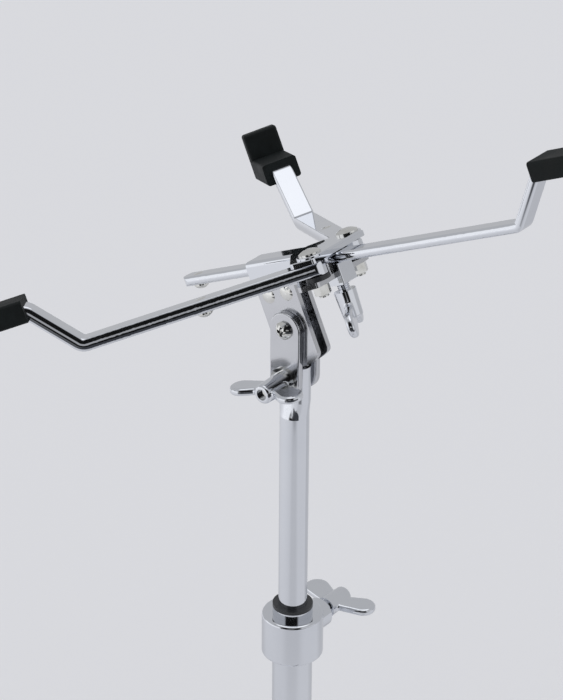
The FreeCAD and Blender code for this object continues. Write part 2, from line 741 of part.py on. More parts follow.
# Guide of the sliding arm, widened into the upper hub plate.
def build_guide():
    roof = plate("guide_roof", hub_plan("hub_offset + hub_front"), cover_low, cover_top)
    round_body(roof, "hub_corner_radius", flared)
    inner = "slide_arm_width / 2 + side_clearance"
    outer = inner + " + guide_wall"
    along = ("0 - guide_back", "guide_front")
    walls = [block("guide_front_wall", along, ("0 - (%s)" % outer, "0 - (%s)" % inner), (plate_top, cover_low)),
             block("guide_rear_wall", along, (inner, outer), (plate_top, cover_low))]
    blank = fused("guide_blank", [roof] + walls)
    edge_round = rounded("guide_edges", blank, "hub_edge_rounding", at_height(cover_top))
    tools = []
    run = ("0 - guide_back - cut_overrun", "guide_front")
    past = ("0 - guide_back - 2 * cut_overrun", "guide_front + cut_overrun")
    core = "%s - guide_bend_radius" % outer
    level = "%s - guide_bend_radius" % cover_top
    rim = (level, cover_top + " + cut_overrun")
    beyond = "%s + cut_overrun" % outer
    for name, side, wide in (("front", "0 - (%s)" % core, ("0 - (%s)" % beyond, "0 - (%s)" % core)),
                             ("rear", core, (core, beyond))):
        corner = block("guide_corner_" + name, run, wide, rim)
        bend = rod("guide_bend_" + name, "guide_bend_radius", past, "X", (side, level))
        tools.append(carved("guide_waste_" + name, corner, [bend]))
    for name, side in zip(basket_names, ("0 - arm_pivot_offset", "arm_pivot_offset")):
        tools.append(rod("guide_bore_" + name, "pivot_screw_diameter / 2 + running_clearance",
                         (cover_low + " - cut_overrun", cover_top + " + cut_overrun"), "Z", ("hub_offset", side)))
    add_node("arm_guide", carved("guide_cut", edge_round, tools), basket_place)
    liner = block("liner_blank", along, ("0 - (%s)" % inner, inner), (plate_top, slide_seat))
    add_node("guide_liner", group("liner", [liner]), basket_place)


# Pivot plate, screws, nuts and washers of the two swivel arms.
def build_pivots():
    radius = "pivot_plate_width / 2"
    top = cover_top + " + pivot_plate_thickness"
    sides = ("0 - arm_pivot_offset", "arm_pivot_offset")
    level = (cover_top, top)
    pieces = [block("pivot_plate_middle", ("hub_offset - " + radius, "hub_offset + " + radius), sides, level)]
    tools = []
    shank = "pivot_screw_diameter / 2"
    for name, side in zip(basket_names, sides):
        pieces.append(rod("pivot_plate_end_" + name, radius, level, "Z", ("hub_offset", side)))
        tools.append(rod("pivot_plate_bore_" + name, shank + " + running_clearance",
                         (cover_top + " - cut_overrun", top + " + cut_overrun"), "Z", ("hub_offset", side)))
    strap = rounded("pivot_plate_edges", fused("pivot_plate_blank", pieces), "hub_edge_rounding", at_height(top))
    add_node("pivot_plate", carved("pivot_plate_cut", strap, tools), basket_place)

    head = "pivot_head_diameter / 2"
    low = plate_low + " - pivot_nut_height - screw_tail"
    screws, nuts, washers = [], [], []
    for name, side in zip(basket_names, sides):
        place = Placement(Vector(worth("hub_offset"), worth(side), 0), Rotation())
        brim = top + " + pivot_head_height * 0.35"
        screw = shaped("pivot_screw_" + name, pin_form(
            [(shank, low, brim), (head, top, brim)], [(head, brim, top + " + pivot_head_height")]))
        screw.Placement = place
        screws.append(screw)
        nut = hexagon("pivot_nut_blank_" + name, "pivot_nut_width", (plate_low + " - pivot_nut_height", plate_low),
                      ("hub_offset", side))
        bore = rod("pivot_nut_bore_" + name, shank + " + running_clearance",
                   (low + " - cut_overrun", plate_low + " + cut_overrun"), "Z", ("hub_offset", side))
        nuts.append(carved("pivot_nut_" + name, nut, [bore]))
        washer = turned("arm_washer_" + name, [
            (shank + " + running_clearance", plate_top), ("arm_washer_diameter / 2", plate_top),
            ("arm_washer_diameter / 2", plate_top + " + arm_washer_height"),
            (shank + " + running_clearance", plate_top + " + arm_washer_height"),
        ])
        washer.Placement = place
        washers.append(washer)
    add_node("pivot_screws", group("pivot_screw_pair", screws), basket_place)
    add_node("pivot_nuts", group("pivot_nut_pair", nuts), basket_place)
    add_node("arm_washers", group("arm_washer_pair", washers), basket_place)


# Block, shoe and wing bolt that clamp the sliding arm under the hub.
def build_clamp():
    half = "slide_arm_width / 2"
    front = "hub_offset + hub_front"
    low = plate_low + " - clamp_drop"
    body = fused("clamp_blank", [
        block("clamp_body", (front + " - clamp_length", front), ("0 - " + half, half), (low, plate_low)),
        block("clamp_front", (front + " - clamp_lip", front), ("0 - " + half, half),
              (plate_low, slide_seat)),
    ])
    soft = rounded("clamp_edges", body, "clamp_rounding",
                   lambda edge: edge.BoundBox.XMin > worth(front) - tolerance)
    bore = rod("clamp_bore", "clamp_screw_diameter / 2 + running_clearance",
               (low + " - cut_overrun", plate_top + " + cut_overrun"), "Z", ("hub_offset", "0"))
    add_node("clamp_block", carved("clamp_cut", soft, [bore]), basket_place)
    shoe = rod("clamp_shoe_blank", "clamp_shoe_diameter / 2",
               (plate_low + " + seat_clearance", slide_seat), "Z", ("hub_offset", "0"))
    add_node("clamp_shoe", group("clamp_shoe_body", [shoe]), basket_place)
    reach = "clamp_drop + clamp_screw_reach"
    bolt = wing_bolt("basket_wing_bolt_body", "clamp_screw_diameter", reach, "clamp_hub_length",
                     "clamp_wing_height", "clamp_wing_root", 0.643)
    seat = Vector(worth("hub_offset"), 0, worth(low + " - clamp_screw_reach + seat_clearance - running_clearance"))
    flip = Rotation(Vector(0, 0, 1), worth("clamp_wing_turn")) * Rotation(Vector(1, 0, 0), 180)
    add_node("basket_wing_bolt", bolt, basket_place * Placement(seat, flip))


# Three arms of the basket with their rivets and rubber tips.
def build_arms():
    pivot_bore = size_of["pivot_screw_diameter"] + 2 * size_of["running_clearance"]
    rivet_bore = size_of["arm_rivet_shank"]
    half = size_of["swivel_arm_width"] / 2
    reach = size_of["swivel_arm_length"]
    for name, sign in zip(basket_names, (-1, 1)):
        turn = Rotation(Vector(0, 0, 1), sign * worth("arm_angle"))
        place = hub_place * Placement(Vector(0, sign * worth("arm_pivot_offset"), 0), turn)
        bar = arm_form("swivel", half, reach)
        eye = bored("swivel", round_end("swivel", bar, half), 0, pivot_bore)
        arm = bored("swivel", eye, size_of["arm_rivet_place"], rivet_bore)
        add_node(name + "_arm", shaped(name + "_arm_body", arm), place)
        rivet = arm_rivet("swivel", name + "_rivet_body")
        offset = Placement(Vector(size_of["arm_rivet_place"], 0, 0), Rotation())
        add_node(name + "_arm_rivet", rivet, place * offset)
        add_node(name + "_tip", shaped(name + "_tip_body", tip_form("swivel", reach, bar)), place)
    back = size_of["slide_arm_back"]
    bar = arm_form("slide", back, size_of["slide_arm_front"])
    stop = size_of["slide_stop_inset"] - back
    rail = bored("slide", round_end("slide", bar, back), stop, rivet_bore)
    add_node("sliding_arm", shaped("sliding_arm_body", rail), hub_place)
    stop_place = hub_place * Placement(Vector(stop, 0, 0), Rotation())
    add_node("slide_stop", arm_rivet("slide", "slide_stop_body"), stop_place)
    add_node("right_tip", shaped("right_tip_body", tip_form("slide", size_of["slide_arm_front"], bar)), hub_place)


# Base tube with its cap, the height clamp, its bush and wing bolt.
def build_column():
    outer = "base_diameter / 2"
    inner = "base_diameter / 2 - base_wall"
    level = "base_top - height_clamp_drop - height_clamp_length / 2"
    screw = "wing_screw_diameter / 2 + running_clearance"
    bore = rod("base_bore", inner, (base_end + " - cut_overrun", "base_top + cut_overrun"))
    side = rod("base_screw_bore", screw, ("0", "base_diameter"), "Y", ("0", level))
    tube = rod("base_blank", outer, (base_end, "base_top"))
    add_node("base_tube", carved("base_cut", tube, [bore, side]))

    plug = inner + " - running_clearance"
    cap = turned("base_cap_body", [
        ("0", base_end + " - cap_height"), (outer, base_end + " - cap_height"),
        (outer + " + cap_rim", base_end + " - cap_height + cap_rim"), (outer + " + cap_rim", base_end),
        (plug, base_end), (plug, base_end + " + cap_plug"), ("0", base_end + " + cap_plug"),
    ])
    add_node("base_end_cap", cap)

    hole = "post_diameter / 2 + running_clearance"
    sleeve = "base_diameter / 2 - base_wall - running_clearance"
    bush = turned("bush_body", [
        (hole, "base_top + bush_flange - bush_length"), (sleeve, "base_top + bush_flange - bush_length"),
        (sleeve, "base_top"), (outer, "base_top"), (outer, "base_top + bush_flange"),
        (hole, "base_top + bush_flange"),
    ])
    add_node("height_bush", bush)

    ring = "height_clamp_diameter / 2"
    low = "base_top - height_clamp_drop - height_clamp_length"
    high = "base_top - height_clamp_drop"
    pieces = [rod("height_ring", ring, (low, high)),
              rod("height_boss", "screw_boss_diameter / 2",
                  ("0", "(%s) + screw_boss_reach" % ring), "Y", ("0", level))]
    blank = rounded("height_ring_edges", fused("height_clamp_blank", pieces), "wing_rounding",
                    lambda edge: at_height(low)(edge) or at_height(high)(edge))
    tools = [rod("height_clamp_bore", outer, (low + " - cut_overrun", high + " + cut_overrun")),
             rod("height_clamp_screw", screw, ("0", "2 * height_clamp_diameter"), "Y", ("0", level))]
    add_node("height_clamp", carved("height_clamp_cut", blank, tools))

    seat = ring + " + screw_boss_reach + screw_boss_gap"
    reach = "(%s) - (base_diameter / 2 - base_wall) - seat_clearance" % seat
    bolt = wing_bolt("height_wing_bolt_body", "wing_screw_diameter", reach)
    add_node("height_wing_bolt", bolt, Placement(Vector(0, worth(seat), worth(level)), turn_to["Y"]))


# Ring round the base tube with three hinge tongues; one that slides has a screw boss.
def collar(name, level, height, tongue, slides):
    ring = "collar_diameter / 2"
    low = "(%s) - (%s) / 2" % (level, height)
    high = "(%s) + (%s) / 2" % (level, height)
    body = [rod(name + "_ring", ring, (low, high))]
    half = "tongue_height / 2"
    width = ("0 - (%s) / 2" % tongue, "(%s) / 2" % tongue)
    arm = fused(name + "_tongue", [
        block(name + "_tongue_bar", ("base_diameter / 2 + seat_clearance", "leg_hinge_radius"), width,
              ("(%s) - %s" % (level, half), "(%s) + %s" % (level, half))),
        rod(name + "_tongue_eye", half, width, "Y", ("leg_hinge_radius", level)),
    ])
    eye = rod(name + "_eye_bore", "hinge_pin_diameter / 2",
              ("0 - leg_hinge_radius", "leg_hinge_radius"), "Y", ("leg_hinge_radius", level))
    bore = "base_diameter / 2 + running_clearance" if slides else "base_diameter / 2"
    tools = [rod(name + "_bore", bore, (low + " - cut_overrun", high + " + cut_overrun"))]
    for side, azimuth in leg_azimuths.items():
        body.append(swung("%s_tongue_%s" % (name, side), arm, azimuth))
        tools.append(swung("%s_eye_%s" % (name, side), eye, azimuth))
    if slides:
        body.append(rod(name + "_boss", "screw_boss_diameter / 2", ("0 - (%s) - screw_boss_reach" % ring, "0"), "Y",
                        ("0", level)))
        tools.append(rod(name + "_screw_bore", "wing_screw_diameter / 2 + running_clearance",
                         ("0 - 2 * collar_diameter", "0"), "Y", ("0", level)))
    return carved(name + "_cut", fused(name + "_blank", body), tools)


# Pins across the tongues of a collar, with a head at each end.
def hinge_pins(name, level, length):
    radius = "hinge_pin_diameter / 2"
    head = "hinge_pin_head / 2"
    pins = []
    for side, azimuth in leg_azimuths.items():
        pin = turned("%s_%s" % (name, side), [
            ("0", "0 - (%s) / 2 - hinge_pin_head_height" % length),
            (head + " * 0.7", "0 - (%s) / 2 - hinge_pin_head_height" % length),
            (head, "0 - (%s) / 2 - hinge_pin_head_height * 0.3" % length), (head, "0 - (%s) / 2" % length),
            (radius, "0 - (%s) / 2" % length), (radius, "(%s) / 2" % length), (head, "(%s) / 2" % length),
            (head, "(%s) / 2 + hinge_pin_head_height * 0.3" % length),
            (head + " * 0.7", "(%s) / 2 + hinge_pin_head_height" % length),
            ("0", "(%s) / 2 + hinge_pin_head_height" % length),
        ])
        spin = Rotation(Vector(0, 0, 1), azimuth)
        spot = spin.multVec(Vector(worth("leg_hinge_radius"), 0, worth(level)))
        pin.Placement = Placement(spot, spin * turn_to["Y"])
        pins.append(pin)
    return group(name + "_set", pins)


# Foot of moulded rubber over the end of a leg, cut level with the floor.
def foot_form(place):
    length = size_of["leg_length"]
    cover = size_of["foot_cover"]
    low = -size_of["leg_drop"] - cover
    tall = size_of["leg_rise"] + size_of["leg_drop"] + 2 * cover
    start = length + size_of["foot_overhang"] - size_of["foot_length"]
    width = size_of["foot_width"]
    boot = Part.makeBox(size_of["foot_length"], width, tall, Vector(start, -width / 2, low))
    outer = [edge for edge in boot.Edges if edge.BoundBox.XMax > start + tolerance]
    boot = boot.makeFillet(size_of["foot_rounding"], outer)
    half = size_of["leg_width"] / 2
    depth = length - start
    socket = Part.makeBox(depth + size_of["cut_overrun"], 2 * half, size_of["leg_rise"] + size_of["leg_drop"],
                          Vector(start - size_of["cut_overrun"], -half, -size_of["leg_drop"]))
    boot = boot.cut(socket)
    spread = 2 * (size_of["leg_length"] + size_of["leg_hinge_radius"])
    ground = Part.makeBox(2 * spread, 2 * spread, spread, Vector(-spread, -spread, -spread))
    ground.Placement = place.inverse() * ground.Placement
    return boot.cut(ground)


# Collars, legs, braces and feet of the tripod.
def build_tripod():
    inside = "leg_width - 2 * leg_wall"
    brace_gap = "leg_width + 2 * side_clearance"
    add_node("leg_collar", collar("leg_collar", leg_level, "collar_height",
                                  inside + " - 2 * side_clearance", True))
    add_node("brace_collar", collar("brace_collar", brace_level, "brace_collar_height",
                                    brace_gap + " - 2 * side_clearance", False))
    add_node("leg_pins", hinge_pins("leg_pin", leg_level, "leg_width + 2 * side_clearance"))
    outer = "(%s) / 2 + brace_thickness" % brace_gap
    add_node("brace_pins", hinge_pins("brace_pin", brace_level, "2 * (%s) + 2 * side_clearance" % outer))
    ring = "collar_diameter / 2"
    seat = ring + " + screw_boss_reach + screw_boss_gap"
    reach = "(%s) - base_diameter / 2 - seat_clearance" % seat
    bolt = wing_bolt("collar_wing_bolt_body", "wing_screw_diameter", reach)
    add_node("collar_wing_bolt", bolt, Placement(Vector(0, -worth(seat), worth(leg_level)), to_front))

    angle = worth("leg_open_angle")
    for side, azimuth in leg_azimuths.items():
        spin = Rotation(Vector(0, 0, 1), azimuth)
        spot = spin.multVec(Vector(worth("leg_hinge_radius"), 0, worth(leg_level)))
        leg_place = Placement(spot, spin * Rotation(Vector(0, 1, 0), 90 - angle))
        half = "leg_width / 2"
        end = "leg_drop"
        blank = block("leg_bar_" + side, ("0 - " + end, "leg_length"), ("0 - " + half, half),
                      ("0 - leg_drop", "leg_rise"))
        ridge = worth("leg_rise")
        soft = rounded("leg_edges_" + side, blank, "leg_rounding",
                       lambda edge: edge.BoundBox.XLength > ridge and edge.BoundBox.ZMin > ridge - tolerance)
        channel = block("leg_channel_" + side, ("0 - cut_overrun - " + end, "leg_length + cut_overrun"),
                        ("0 - (%s) / 2" % inside, "(%s) / 2" % inside),
                        ("0 - leg_drop - cut_overrun", "leg_rise - leg_wall"))
        corner = block("leg_corner_" + side, ("0 - cut_overrun - " + end, "0"), ("0 - leg_width", "leg_width"),
                       ("0 - leg_drop - cut_overrun", "leg_rise + cut_overrun"))
        eye = rod("leg_eye_" + side, end, ("0 - 2 * leg_width", "2 * leg_width"), "Y")
        bore = rod("leg_bore_" + side, "hinge_pin_diameter / 2 + running_clearance",
                   ("0 - leg_width", "leg_width"), "Y")
        leg = carved("leg_cut_" + side, soft, [channel, carved("leg_end_" + side, corner, [eye]), bore])
        add_node("leg_" + side, leg, leg_place)
        add_node("foot_" + side, shaped("foot_body_" + side, foot_form(leg_place)), leg_place)

        low = spin.multVec(Vector(worth("leg_hinge_radius"), 0, worth(brace_level)))
        brace_place = Placement(low, spin * Rotation(Vector(0, 1, 0), angle - 90))
        pin = "hinge_pin_diameter / 2 + running_clearance"
        gap = "(%s) / 2" % brace_gap
        strips, rivets = [], []
        for hand, near, far in (("front", "0 - (%s)" % outer, "0 - " + gap), ("rear", gap, outer)):
            name = "brace_%s_%s" % (side, hand)
            strips.append(strip(name, "brace_length", "brace_width", (near, far), (pin, pin)))
            head = "brace_rivet_head / 2"
            stem = "hinge_pin_diameter / 2"
            rivet = turned("brace_rivet_%s_%s" % (side, hand), [
                ("0", "0"), (stem, "0"), (stem, "brace_thickness"), (head, "brace_thickness"),
                (head, "brace_thickness + brace_rivet_height * 0.4"),
                (head + " * 0.7", "brace_thickness + brace_rivet_height"),
                ("0", "brace_thickness + brace_rivet_height"),
            ])
            face = to_front if hand == "front" else turn_to["Y"]
            sign = -1 if hand == "front" else 1
            rivet.Placement = Placement(Vector(worth("brace_length"), sign * worth(gap), 0), face)
            rivets.append(rivet)
        add_node("brace_" + side, group("brace_pair_" + side, strips), brace_place)
        add_node("brace_rivets_" + side, group("brace_rivet_pair_" + side, rivets), brace_place)


# Every object has to be whole before anything is written.
def check_document():
    for item in doc.Objects:
        if "Invalid" in item.State or "Error" in item.State:
            raise RuntimeError("%s failed: %s" % (item.Name, item.State))
    for piece in nodes:
        if piece.Shape.isNull() or not piece.Shape.isValid() or not piece.Shape.Solids:
            raise RuntimeError("%s has no valid solid" % piece.Label)


build_tilter()
build_bracket()
build_guide()
build_pivots()
build_clamp()
build_arms()
build_column()
build_tripod()
doc.recompute()
check_document()
os.makedirs("parts", exist_ok=True)
for piece in nodes:
    piece.Shape.exportStep("parts/%s.step" % piece.Label)
    box = piece.Shape.BoundBox
    print("%-20s solids %d  volume %9.1f  z %.1f to %.1f"
          % (piece.Label, len(piece.Shape.Solids), piece.Shape.Volume, box.ZMin, box.ZMax))
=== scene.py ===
import json
import math
import bpy
from mathutils import Matrix, Vector


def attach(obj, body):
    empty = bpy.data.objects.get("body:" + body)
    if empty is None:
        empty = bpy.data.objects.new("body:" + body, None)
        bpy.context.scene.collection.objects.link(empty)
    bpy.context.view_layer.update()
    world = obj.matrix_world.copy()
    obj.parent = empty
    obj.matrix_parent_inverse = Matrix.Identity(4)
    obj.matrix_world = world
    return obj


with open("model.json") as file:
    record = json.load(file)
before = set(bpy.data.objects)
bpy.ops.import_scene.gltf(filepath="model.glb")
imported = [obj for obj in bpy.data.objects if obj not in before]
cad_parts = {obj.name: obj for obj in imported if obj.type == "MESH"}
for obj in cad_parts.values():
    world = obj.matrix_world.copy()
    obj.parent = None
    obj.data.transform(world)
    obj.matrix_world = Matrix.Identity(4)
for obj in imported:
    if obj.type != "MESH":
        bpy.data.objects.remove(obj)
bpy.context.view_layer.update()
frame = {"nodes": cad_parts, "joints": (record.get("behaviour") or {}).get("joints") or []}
nodes = frame["nodes"]
joints = {joint["name"]: joint for joint in frame["joints"]}
millimetre = 0.001
perMetre = 1000  # over a size in millimetres, this is a texture's scale
colourA, colourB, colourMixed = 6, 7, 2  # the Mix node's sockets for colours
smoothAngle = math.radians(40)  # sharper edges stay crisp
print("frame loaded:", len(nodes), "nodes")


# sRGB hex to the linear colour that the sockets take
def linear(hexColour):
    shares = [int(hexColour[i:i + 2], 16) / 255 for i in (0, 2, 4)]
    return [s / 12.92 if s <= 0.04045 else ((s + 0.055) / 1.055) ** 2.4 for s in shares] + [1.0]


# one node: attributes and socket values in settings, sockets of other nodes in links
def addNode(tree, kind, settings=None, links=None):
    node = tree.nodes.new(kind)
    for name, value in (settings or {}).items():
        if isinstance(name, str) and hasattr(node, name):
            setattr(node, name, value)
        else:
            node.inputs[name].default_value = value
    for name, socket in (links or {}).items():
        tree.links.new(socket, node.inputs[name])
    return node


def newMaterial(name):
    material = bpy.data.materials.new(name)
    material.use_nodes = True
    material.node_tree.nodes.clear()
    return material, material.node_tree


# Chrome plate over nickel on steel: a cold near-white mirror. The buffing wheel leaves slow waves
# that bend long reflections, and handling leaves faint duller patches. The hairlines of the wheel
# are about 0.05 mm apart and are drawn eight times coarser, so that they show at all.
chromeGrain = {
    "waveDetail": 1.0, "waveStrength": 1.0, "smudgeDetail": 5.0, "smudgeRoughness": 0.62,
    "hairlineMm": 0.4, "hairlineDetail": 2.0, "hairlineShare": 0.25, "dullLow": 0.4,
    "dullHigh": 0.72}


def chromeFinish(name, look):
    material, tree = newMaterial(name)
    place = addNode(tree, "ShaderNodeTexCoord").outputs["Object"]
    wave = addNode(
        tree, "ShaderNodeTexNoise",
        {"Scale": perMetre / look["waveMm"], "Detail": chromeGrain["waveDetail"]},
        {"Vector": place})
    smudge = addNode(
        tree, "ShaderNodeTexNoise",
        {"Scale": perMetre / look["smudgeMm"], "Detail": chromeGrain["smudgeDetail"],
         "Roughness": chromeGrain["smudgeRoughness"]},
        {"Vector": place})
    hairline = addNode(
        tree, "ShaderNodeTexNoise",
        {"Scale": perMetre / chromeGrain["hairlineMm"], "Detail": chromeGrain["hairlineDetail"]},
        {"Vector": place})
    patch = addNode(
        tree, "ShaderNodeMix",
        {"data_type": "FLOAT", "Factor": chromeGrain["hairlineShare"]},
        {"A": smudge.outputs["Fac"], "B": hairline.outputs["Fac"]})
    rough = addNode(
        tree, "ShaderNodeMapRange",
        {"From Min": chromeGrain["dullLow"], "From Max": chromeGrain["dullHigh"],
         "To Min": look["gloss"], "To Max": look["dull"]},
        {"Value": patch.outputs["Result"]})
    tone = addNode(
        tree, "ShaderNodeMix",
        {"data_type": "RGBA", colourA: linear(look["colour"]), colourB: linear(look["film"])},
        {0: smudge.outputs["Fac"]})
    bump = addNode(
        tree, "ShaderNodeBump",
        {"Strength": chromeGrain["waveStrength"],
         "Distance": look["waveHeightMm"] * millimetre},
        {"Height": wave.outputs["Fac"]})
    metal = addNode(
        tree, "ShaderNodeBsdfPrincipled", {"Metallic": 1.0},
        {"Base Color": tone.outputs[colourMixed], "Roughness": rough.outputs["Result"],
         "Normal": bump.outputs["Normal"]})
    addNode(tree, "ShaderNodeOutputMaterial", None, {"Surface": metal.outputs["BSDF"]})
    return material


# tubes, arms, hub, legs and cast wings are buffed
chromePlate = chromeFinish("buffedChromePlate", {
    "colour": "E2E4E8", "film": "D9DCE2", "waveMm": 26, "waveHeightMm": 0.012, "smudgeMm": 34,
    "gloss": 0.035, "dull": 0.085})
# straps and bracket are pressed from sheet and only tumbled before plating, so they mirror softly
tumbledChrome = chromeFinish("tumbledChromePlate", {
    "colour": "D0D1D4", "film": "C5C6CA", "waveMm": 9, "waveHeightMm": 0.008, "smudgeMm": 15,
    "gloss": 0.15, "dull": 0.24})

# Nickel plate on cold-headed screws, nuts and rivets: a little warmer and softer than the chrome,
# with a fine grain from barrel plating.
nickelLook = {
    "colour": "DEDEDB", "tarnish": "C9C8C2", "tarnishLow": 0.45, "tarnishHigh": 0.8,
    "spotMm": 5, "spotDetail": 4.0, "grainMm": 0.6, "grainDetail": 2.0, "grainHeightMm": 0.006,
    "grainStrength": 0.6, "gloss": 0.06, "dull": 0.13, "dullLow": 0.35, "dullHigh": 0.7}
barrelNickel, tree = newMaterial("barrelNickel")
place = addNode(tree, "ShaderNodeTexCoord").outputs["Object"]
spot = addNode(
    tree, "ShaderNodeTexNoise",
    {"Scale": perMetre / nickelLook["spotMm"], "Detail": nickelLook["spotDetail"]},
    {"Vector": place})
grain = addNode(
    tree, "ShaderNodeTexNoise",
    {"Scale": perMetre / nickelLook["grainMm"], "Detail": nickelLook["grainDetail"]},
    {"Vector": place})
tint = addNode(
    tree, "ShaderNodeMapRange",
    {"From Min": nickelLook["tarnishLow"], "From Max": nickelLook["tarnishHigh"]},
    {"Value": spot.outputs["Fac"]})
colour = addNode(
    tree, "ShaderNodeMix",
    {"data_type": "RGBA", colourA: linear(nickelLook["colour"]),
     colourB: linear(nickelLook["tarnish"])},
    {0: tint.outputs["Result"]})
rough = addNode(
    tree, "ShaderNodeMapRange",
    {"From Min": nickelLook["dullLow"], "From Max": nickelLook["dullHigh"],
     "To Min": nickelLook["gloss"], "To Max": nickelLook["dull"]},
    {"Value": spot.outputs["Fac"]})
bump = addNode(
    tree, "ShaderNodeBump",
    {"Strength": nickelLook["grainStrength"],
     "Distance": nickelLook["grainHeightMm"] * millimetre},
    {"Height": grain.outputs["Fac"]})
metal = addNode(
    tree, "ShaderNodeBsdfPrincipled", {"Metallic": 1.0},
    {"Base Color": colour.outputs[colourMixed], "Roughness": rough.outputs["Result"],
     "Normal": bump.outputs["Normal"]})
addNode(tree, "ShaderNodeOutputMaterial", None, {"Surface": metal.outputs["BSDF"]})

# Black nitrile rubber from a blasted mould: dull, nearly black, a pebbled skin under a millimetre,
# and a greyer bloom in broad patches where it has been handled.
rubberLook = {
    "colour": "0F1414", "bloom": "171D1E", "bloomMm": 16, "bloomDetail": 6.0,
    "bloomRoughness": 0.6, "bloomLow": 0.42, "bloomHigh": 0.7, "pebbleMm": 0.8,
    "pebbleDetail": 1.0, "pebbleHeightMm": 0.05, "pebbleStrength": 0.7, "rough": 0.55,
    "dry": 0.74, "dryLow": 0.3, "dryHigh": 0.7, "ior": 1.52, "specular": 0.2}
mouldedRubber, tree = newMaterial("mouldedRubber")
place = addNode(tree, "ShaderNodeTexCoord").outputs["Object"]
bloom = addNode(
    tree, "ShaderNodeTexNoise",
    {"Scale": perMetre / rubberLook["bloomMm"], "Detail": rubberLook["bloomDetail"],
     "Roughness": rubberLook["bloomRoughness"]},
    {"Vector": place})
pebble = addNode(
    tree, "ShaderNodeTexNoise",
    {"Scale": perMetre / rubberLook["pebbleMm"], "Detail": rubberLook["pebbleDetail"]},
    {"Vector": place})
share = addNode(
    tree, "ShaderNodeMapRange",
    {"From Min": rubberLook["bloomLow"], "From Max": rubberLook["bloomHigh"]},
    {"Value": bloom.outputs["Fac"]})
colour = addNode(
    tree, "ShaderNodeMix",
    {"data_type": "RGBA", colourA: linear(rubberLook["colour"]),
     colourB: linear(rubberLook["bloom"])},
    {0: share.outputs["Result"]})
rough = addNode(
    tree, "ShaderNodeMapRange",
    {"From Min": rubberLook["dryLow"], "From Max": rubberLook["dryHigh"],
     "To Min": rubberLook["rough"], "To Max": rubberLook["dry"]},
    {"Value": bloom.outputs["Fac"]})
bump = addNode(
    tree, "ShaderNodeBump",
    {"Strength": rubberLook["pebbleStrength"],
     "Distance": rubberLook["pebbleHeightMm"] * millimetre},
    {"Height": pebble.outputs["Fac"]})
skin = addNode(
    tree, "ShaderNodeBsdfPrincipled",
    {"IOR": rubberLook["ior"], "Specular IOR Level": rubberLook["specular"]},
    {"Base Color": colour.outputs[colourMixed], "Roughness": rough.outputs["Result"],
     "Normal": bump.outputs["Normal"]})
addNode(tree, "ShaderNodeOutputMaterial", None, {"Surface": skin.outputs["BSDF"]})

# Black nylon 6, turned and sliding against metal: dark, waxy satin with lathe rings. The rings are
# about 0.5 mm apart, and the wave texture's own factor draws them six times coarser, so they show.
nylonLook = {
    "colour": "191A1D", "rubbed": "2C2E31", "rubMm": 6, "rubDetail": 3.0, "ringMm": 0.5,
    "ringFactor": 20, "ringDistortion": 0.6, "ringHeightMm": 0.015, "ringStrength": 0.5,
    "rough": 0.36, "ior": 1.53}
turnedNylon, tree = newMaterial("turnedNylon")
place = addNode(tree, "ShaderNodeTexCoord").outputs["Object"]
rub = addNode(
    tree, "ShaderNodeTexNoise",
    {"Scale": perMetre / nylonLook["rubMm"], "Detail": nylonLook["rubDetail"]},
    {"Vector": place})
ring = addNode(
    tree, "ShaderNodeTexWave",
    {"bands_direction": "Z", "Scale": perMetre / nylonLook["ringMm"] / nylonLook["ringFactor"],
     "Distortion": nylonLook["ringDistortion"]},
    {"Vector": place})
colour = addNode(
    tree, "ShaderNodeMix",
    {"data_type": "RGBA", colourA: linear(nylonLook["colour"]),
     colourB: linear(nylonLook["rubbed"])},
    {0: rub.outputs["Fac"]})
bump = addNode(
    tree, "ShaderNodeBump",
    {"Strength": nylonLook["ringStrength"], "Distance": nylonLook["ringHeightMm"] * millimetre},
    {"Height": ring.outputs["Fac"]})
skin = addNode(
    tree, "ShaderNodeBsdfPrincipled",
    {"IOR": nylonLook["ior"], "Roughness": nylonLook["rough"]},
    {"Base Color": colour.outputs[colourMixed], "Normal": bump.outputs["Normal"]})
addNode(tree, "ShaderNodeOutputMaterial", None, {"Surface": skin.outputs["BSDF"]})

# Black ABS from a spark-eroded mould: satin, with a fine matt grain.
absLook = {
    "colour": "15171A", "worn": "24272B", "wornMm": 12, "wornDetail": 5.0, "wornLow": 0.5,
    "wornHigh": 0.75, "grainMm": 0.5, "grainHeightMm": 0.03, "grainStrength": 0.5,
    "gloss": 0.34, "dull": 0.52, "dullLow": 0.3, "dullHigh": 0.7, "ior": 1.54}
mouldedAbs, tree = newMaterial("mouldedAbs")
place = addNode(tree, "ShaderNodeTexCoord").outputs["Object"]
worn = addNode(
    tree, "ShaderNodeTexNoise",
    {"Scale": perMetre / absLook["wornMm"], "Detail": absLook["wornDetail"]},
    {"Vector": place})
grain = addNode(
    tree, "ShaderNodeTexVoronoi", {"Scale": perMetre / absLook["grainMm"]}, {"Vector": place})
share = addNode(
    tree, "ShaderNodeMapRange",
    {"From Min": absLook["wornLow"], "From Max": absLook["wornHigh"]},
    {"Value": worn.outputs["Fac"]})
colour = addNode(
    tree, "ShaderNodeMix",
    {"data_type": "RGBA", colourA: linear(absLook["colour"]), colourB: linear(absLook["worn"])},
    {0: share.outputs["Result"]})
rough = addNode(
    tree, "ShaderNodeMapRange",
    {"From Min": absLook["dullLow"], "From Max": absLook["dullHigh"],
     "To Min": absLook["gloss"], "To Max": absLook["dull"]},
    {"Value": worn.outputs["Fac"]})
bump = addNode(
    tree, "ShaderNodeBump",
    {"Strength": absLook["grainStrength"], "Distance": absLook["grainHeightMm"] * millimetre},
    {"Height": grain.outputs["Distance"]})
